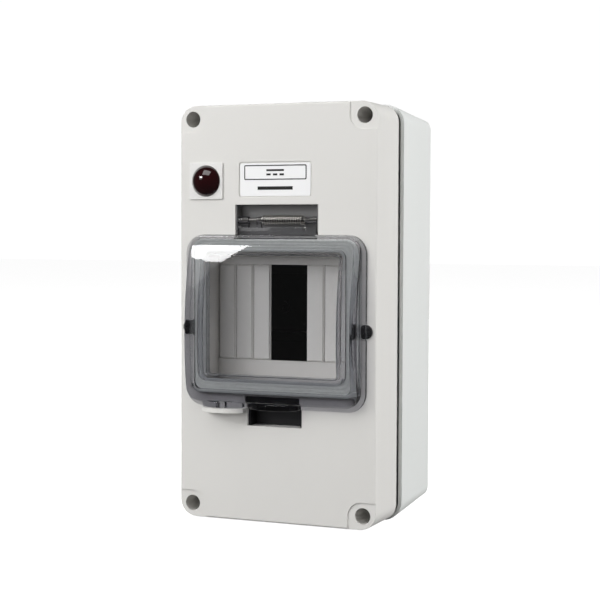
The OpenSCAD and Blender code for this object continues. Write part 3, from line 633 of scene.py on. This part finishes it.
def lid_cuts():
    """The pin's bore, the locking hole and the room for the side plugs."""
    end = KNUCKLE_END + 1 * MM
    play = 0.05 * MM
    hole_start = LOCK_HOLE + Vector((0, 0, -60 * MM))  # well below the lug
    hole_end = LOCK_HOLE + Vector((0, 0, LUG_Z[1]))
    bore = rod((-end, PIN_Y, PIN_Z), (end, PIN_Y, PIN_Z), PIN_RADIUS + play)
    return [bore, rod(hole_start, hole_end, LOCK_HOLE_RADIUS), *plug_reliefs()]


def make_lid():
    """The clear lid as one moulding."""
    lid = new_object("lid_moulding", lid_shell(), None, None)
    combine(lid, hinge_shapes() + latch_shapes(), "UNION")
    combine(lid, lid_cuts(), "DIFFERENCE")
    shade_by_angle(lid, 30)
    dress(lid, "clear_lid")
    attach(lid, "lid")
    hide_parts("lid")


def make_gasket():
    """The ring of ribbed rubber in the lid's seat."""
    bm = bmesh.new()
    play = 0.05 * MM
    half_width = DOME_HALF - DOME_WALL - play
    outer = (half_width, SEAT_BOTTOM + play, SEAT_TOP - play, DOME_RADIUS - DOME_WALL)
    inner = grown(WINDOW, play)
    valley = SEAT_Y + 0.4 * MM
    rib_height = 0.22 * MM
    ribs = 4
    steps = 24
    loops = []
    for i in range(steps + 1):
        t = i / steps
        size = tuple(a + (b - a) * t for a, b in zip(inner, outer))
        rise = rib_height * (0.5 - 0.5 * math.cos(2 * math.pi * ribs * t))
        loops.append(ring(bm, size, lambda x, z: valley - rise))
    loops.append(ring(bm, outer, lambda x, z: LID_BACK))
    loops.append(ring(bm, inner, lambda x, z: LID_BACK))
    for first, second in zip(loops, loops[1:] + loops[:1]):
        bridge(bm, first, second)
    gasket_ring = new_object("gasket_ring", bm, "gasket_grey", None)
    combine(gasket_ring, plug_reliefs(), "DIFFERENCE")
    shade_by_angle(gasket_ring, 40)
    dress(gasket_ring, "gasket_grey")
    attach(gasket_ring, "lid")
    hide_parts("lid_gasket")


# ---------- spring ----------


def make_spring():
    """The coil as a real helix of round wire, with a leg behind it at each end."""
    turns = 17
    per_turn = 24
    wire = 0.42 * MM
    radius = 1.92 * MM
    start = -7.6 * MM
    pitch = 1.22 * MM
    fixed_leg = 3.6 * MM  # runs back to the hinge block
    lid_leg = 3.1 * MM  # runs down behind the lid's hinge plate
    lid_leg_back = 1.3 * MM
    points = [Vector((start, PIN_Y + fixed_leg, PIN_Z - radius))]
    for i in range(turns * per_turn + 1):
        angle = 2 * math.pi * i / per_turn
        x = start + pitch * i / per_turn
        points.append(Vector((x, PIN_Y - radius * math.sin(angle), PIN_Z - radius * math.cos(angle))))
    end = points[-1].x
    points.append(Vector((end, PIN_Y + lid_leg_back, PIN_Z - radius)))
    points.append(Vector((end, PIN_Y + lid_leg_back, PIN_Z - radius - lid_leg)))
    curve = bpy.data.curves.new("spring_coil", "CURVE")
    curve.dimensions = "3D"
    curve.bevel_depth = wire
    curve.bevel_resolution = 4
    curve.use_fill_caps = True
    spline = curve.splines.new("POLY")
    spline.points.add(len(points) - 1)
    for point, place in zip(spline.points, points):
        point.co = (*place, 1)
    obj = bpy.data.objects.new("spring_coil", curve)
    bpy.context.scene.collection.objects.link(obj)
    curve.materials.append(LOOKS["steel"])
    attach(obj, "enclosure")
    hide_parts("hinge_spring")


# ---------- lamp lens and side plugs ----------


def spun(profile, x, z):
    """A round bmesh with its axis along Y at (x, z); profile lists (radius, y) from the middle out."""
    bm = bmesh.new()
    verts = [bm.verts.new((r, y, 0)) for r, y in profile]
    edges = [bm.edges.new(pair) for pair in zip(verts, verts[1:])]
    turn = {"cent": (0, 0, 0), "axis": (0, 1, 0), "angle": 2 * math.pi, "steps": 64}
    bmesh.ops.spin(bm, geom=verts + edges, use_merge=True, **turn)
    bmesh.ops.remove_doubles(bm, verts=bm.verts, dist=0.001 * MM)
    bmesh.ops.translate(bm, verts=bm.verts, vec=(x, 0, z))
    return bm


def make_lens():
    """The lamp's dome, with the neck that enters the bezel."""
    neck_radius = 4.6 * MM
    neck_length = 4 * MM
    steps = 24
    radius = (lens_box.high.x - lens_box.low.x) / 2
    back = FACE_Y - 0.8 * MM
    height = back - lens_box.low.y
    ball = (radius**2 + height**2) / (2 * height)
    profile = []
    for angle in quarter(steps):
        r = radius * math.sin(angle)
        profile.append((r, back - height + ball - math.sqrt(ball**2 - r**2)))
    neck_end = back + neck_length
    profile += [(radius, back), (neck_radius, back), (neck_radius, neck_end), (0, neck_end)]
    bm = spun(profile, lens_box.mid.x, lens_box.mid.z)
    new_object("lens_dome", bm, "red_lens", "enclosure", "lamp_lens")


def make_side_plugs():
    """The two round rubber plugs, each a button with a stem in the cover."""
    radius = 3.4 * MM
    front = FACE_Y - 1.3 * MM
    edge = 0.9 * MM
    stem_radius = 2 * MM
    stem_end = FACE_Y + 4.5 * MM
    for side, name in ((-1, "plug_left"), (1, "plug_right")):
        profile = [(0, front)]
        for angle in quarter(6):
            profile.append((radius - edge + edge * math.sin(angle), front + edge * (1 - math.cos(angle))))
        profile += [(radius, FACE_Y), (stem_radius, FACE_Y), (stem_radius, stem_end), (0, stem_end)]
        bm = spun(profile, side * PLUG_X, plugs.mid.z)
        new_object(name, bm, "black_rubber", "enclosure", "side_plugs")


make_lid()
make_gasket()
make_spring()
make_lens()
make_side_plugs()

# ---------- finish on the CAD mouldings ----------

SOFT_EDGES = {
    "front_cover": 0.18 * MM,
    "base_box": 0.4 * MM,
    "hinge_block": 0.15 * MM,
    "lamp_bezel": 0.2 * MM,
    "conduit_plug": 0.3 * MM,
    "latch_keeper": 0.2 * MM,
    "chassis": 0.2 * MM,
    "terminal_block": 0.2 * MM,
    "label_plate": 0.05 * MM,
}
for strip in range(1, 7):
    SOFT_EDGES[f"blanking_strip_{strip}"] = 0.25 * MM
for name, width in SOFT_EDGES.items():
    soften(frame["nodes"][name], width)
for obj in frame["nodes"].values():
    shade_by_angle(obj)


# ---------- floor, light and camera ----------


FLOOR_HALF = 6.0
FLOOR_GLOW = 0.85


def make_stage():
    """A pale floor that runs far behind the object."""
    bm = bmesh.new()
    bmesh.ops.create_grid(bm, x_segments=8, y_segments=8, size=FLOOR_HALF)
    bmesh.ops.translate(bm, verts=bm.verts, vec=(0, 0, base.low.z))
    floor = new_object("floor", bm, None, None)
    m = Nodes("floor paper")
    m.join(m.mix(m.noise(3, 2), (0.93, 0.93, 0.93), (0.95, 0.95, 0.95)), m.shader.inputs["Base Color"])
    m.set(Roughness=0.8, Emission_Color=(1, 1, 1, 1), Emission_Strength=FLOOR_GLOW)
    floor.data.materials.append(m.material)
    # the box is lit by the lamps alone, so that its inside isn't dark beside its outside
    floor.visible_diffuse = False
    floor.visible_glossy = False
    floor.visible_transmission = False


MIDDLE = Vector((0, -0.06, 0))  # what the lamps are aimed at


def softbox(name, direction, distance, size, power, mirrored=False):
    """A soft light aimed at the box from an (azimuth, elevation) in degrees, to the left and up.

    Only a mirrored one shows in reflections, and none in plain view. None shines along refracted rays,
    because the lid's plastic already lets the lamps' own rays through.
    """
    light = bpy.data.lights.new(name, "AREA")
    light.shape = "RECTANGLE"
    light.size, light.size_y = size
    light.energy = power
    obj = bpy.data.objects.new(name, light)
    azimuth, elevation = (math.radians(angle) for angle in direction)
    away = Vector((-math.sin(azimuth), -math.cos(azimuth), 0)) * math.cos(elevation)
    away.z = math.sin(elevation)
    aim = away.to_track_quat("Z", "Y").to_matrix().to_4x4()
    obj.matrix_world = Matrix.Translation(MIDDLE + away * distance) @ aim
    obj.visible_camera = False
    obj.visible_glossy = mirrored
    obj.visible_transmission = False
    bpy.context.scene.collection.objects.link(obj)


# brightness of the backdrop, and of the room in front of the object and behind it
BACKDROP = 1.02
FRONT_DARK = 0.05
REAR_GLOW = 0.25


def make_world():
    """A white backdrop to look at, and a room that is dark in front, so that the lid has dark edges."""
    world = bpy.data.worlds.new("studio")
    bpy.context.scene.world = world
    world.use_nodes = True
    tree = world.node_tree
    direction = tree.nodes.new("ShaderNodeTexCoord").outputs["Generated"]
    split = tree.nodes.new("ShaderNodeSeparateXYZ")
    tree.links.new(direction, split.inputs["Vector"])
    behind = tree.nodes.new("ShaderNodeMapRange")
    behind.interpolation_type = "SMOOTHSTEP"
    behind.inputs["From Min"].default_value = 0.0
    behind.inputs["From Max"].default_value = 0.5
    behind.inputs["To Min"].default_value = FRONT_DARK
    behind.inputs["To Max"].default_value = REAR_GLOW
    tree.links.new(split.outputs["Y"], behind.inputs["Value"])
    seen = tree.nodes.new("ShaderNodeLightPath").outputs["Is Camera Ray"]
    brightness = tree.nodes.new("ShaderNodeMix")
    tree.links.new(seen, brightness.inputs["Factor"])
    tree.links.new(behind.outputs["Result"], brightness.inputs["A"])
    brightness.inputs["B"].default_value = BACKDROP
    background = tree.nodes["Background"]
    background.inputs["Color"].default_value = (1, 1, 1, 1)
    tree.links.new(brightness.outputs["Result"], background.inputs["Strength"])


def make_light():
    """Soft lamps in front, at the right side, above and behind; the lid mirrors three of them."""
    softbox("left wash", (48, 24), 1.5, (0.7, 0.7), 9)
    softbox("left strip", (37.6, 24.1), 1.3, (0.40, 0.15), 3.3, mirrored=True)
    softbox("left glow", (37.6, 16.4), 1.3, (0.40, 0.21), 0.4, mirrored=True)
    softbox("front fill", (10, 3), 1.8, (1.2, 1.0), 16)
    softbox("right side", (-92, 12), 1.4, (0.8, 1.2), 22.5)
    softbox("overhead", (8, 55), 1.5, (1.1, 0.8), 6.4, mirrored=True)
    softbox("back fill", (180, 12), 1.6, (1.0, 1.0), 8)


CAMERA_PLACE = (0.28785, -0.73056, 0.03794)
CAMERA_TURN = math.radians(23.08)
CAMERA_DOWN = 2.515  # degrees below level
CAMERA_ROLL = math.radians(0.23)
FOCAL_LENGTH = 90.3  # in millimetres, like the sensor's width
SENSOR_WIDTH = 36


def make_camera():
    """The camera, in front of the object and to its right."""
    camera = bpy.data.cameras.new("camera")
    camera.lens = FOCAL_LENGTH
    camera.sensor_width = SENSOR_WIDTH
    camera.clip_start = 0.01
    obj = bpy.data.objects.new("camera", camera)
    turn = Matrix.Rotation(CAMERA_TURN, 4, "Z")
    tilt = Matrix.Rotation(math.radians(90 - CAMERA_DOWN), 4, "X")
    roll = Matrix.Rotation(CAMERA_ROLL, 4, "Z")
    obj.matrix_world = Matrix.Translation(CAMERA_PLACE) @ turn @ tilt @ roll
    bpy.context.scene.collection.objects.link(obj)
    bpy.context.scene.camera = obj


make_stage()
make_world()
make_light()
make_camera()
bpy.context.scene.view_settings.view_transform = "Standard"
